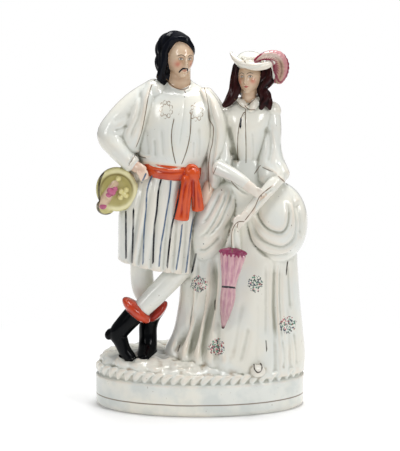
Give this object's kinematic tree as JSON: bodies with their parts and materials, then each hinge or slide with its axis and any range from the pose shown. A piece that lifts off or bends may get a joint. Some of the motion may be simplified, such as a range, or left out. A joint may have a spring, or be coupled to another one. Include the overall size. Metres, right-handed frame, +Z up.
{
  "type": "staffordshire figure group",
  "caption": "Flat-backed glazed earthenware figure group: a man with crossed legs and a woman with a furled parasol on an oval base.",
  "frame": {"origin": "middle of the oval underside of the base, on the surface that the group stands on", "axes": "+X to the viewer's right along the base, +Y to the plain back, +Z up"},
  "size_m": [0.1799, 0.0925, 0.318],
  "materials": {
    "glazed_earthenware": "glossy lead glaze over white earthenware, painted in enamels: orange-red sash and boot cuffs, black boots and hair, blue and black stripes on the kilt, pink parasol and plume, yellow straw hat, flower sprigs, thin gilt lines"
  },
  "bodies": {
    "root": {"figure_group": "glazed_earthenware"}
  },
  "joints": []
}
